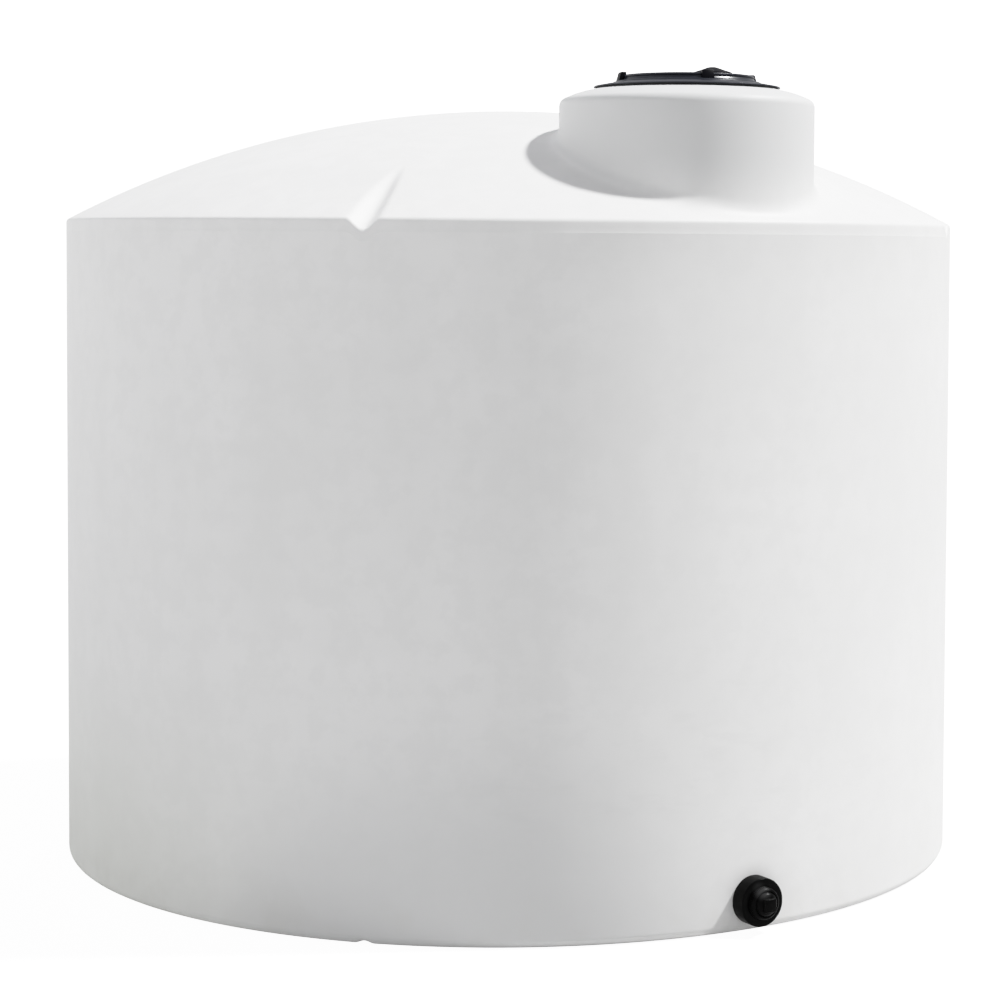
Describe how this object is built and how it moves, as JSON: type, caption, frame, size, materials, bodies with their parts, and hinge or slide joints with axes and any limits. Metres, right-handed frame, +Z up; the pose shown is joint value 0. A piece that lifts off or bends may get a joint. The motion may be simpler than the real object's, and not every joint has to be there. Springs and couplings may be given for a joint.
{
  "type": "vertical storage tank",
  "caption": "Upright cylindrical plastic liquid storage tank with a domed roof, an offset raised manway with a screwed lid and vent, lashing grooves and a low bulkhead outlet with a plug.",
  "frame": {"origin": "middle of the floor's underside, on the tank's axis", "axes": "+Z up the tank's axis; -Y towards the outlet fitting, with the manway over it"},
  "size_m": [2.2844, 2.3584, 1.9802],
  "materials": {
    "shell": "natural white rotomoulded polyethylene, satin, faintly mottled",
    "lid_plastic": "black moulded polypropylene, satin",
    "fitting_plastic": "black moulded polypropylene, semi-gloss",
    "gasket_rubber": "black rubber, matt"
  },
  "bodies": {
    "tank": {"tank_floor": "shell", "wall_01": "shell", "wall_02": "shell", "wall_03": "shell", "wall_04": "shell", "wall_05": "shell", "wall_06": "shell", "wall_07": "shell", "wall_08": "shell", "wall_09": "shell", "wall_10": "shell", "wall_11": "shell", "wall_12": "shell", "roof": "shell", "manway_wall": "shell", "manway_top": "shell", "manway_ring": "lid_plastic", "outlet_body": "fitting_plastic", "outlet_gasket": "gasket_rubber", "outlet_nut": "fitting_plastic"},
    "seal": {"lid_gasket": "gasket_rubber"},
    "lid": {"lid": "lid_plastic", "vent_cap": "lid_plastic"},
    "plug": {"outlet_plug": "fitting_plastic"}
  },
  "joints": [
    {"name": "lid_lift", "type": "slide", "parent": "tank", "child": "seal", "axis": [0, 0, 1], "range_m": [0, 0.6]},
    {"name": "lid_turn", "type": "hinge", "parent": "seal", "child": "lid", "pos_m": [0.01844, -0.81279, 1.93], "axis": [0, 0, 1], "continuous": true},
    {"name": "plug_out", "type": "slide", "parent": "tank", "child": "plug", "axis": [0, -1, 0], "range_m": [0, 0.15]}
  ]
}
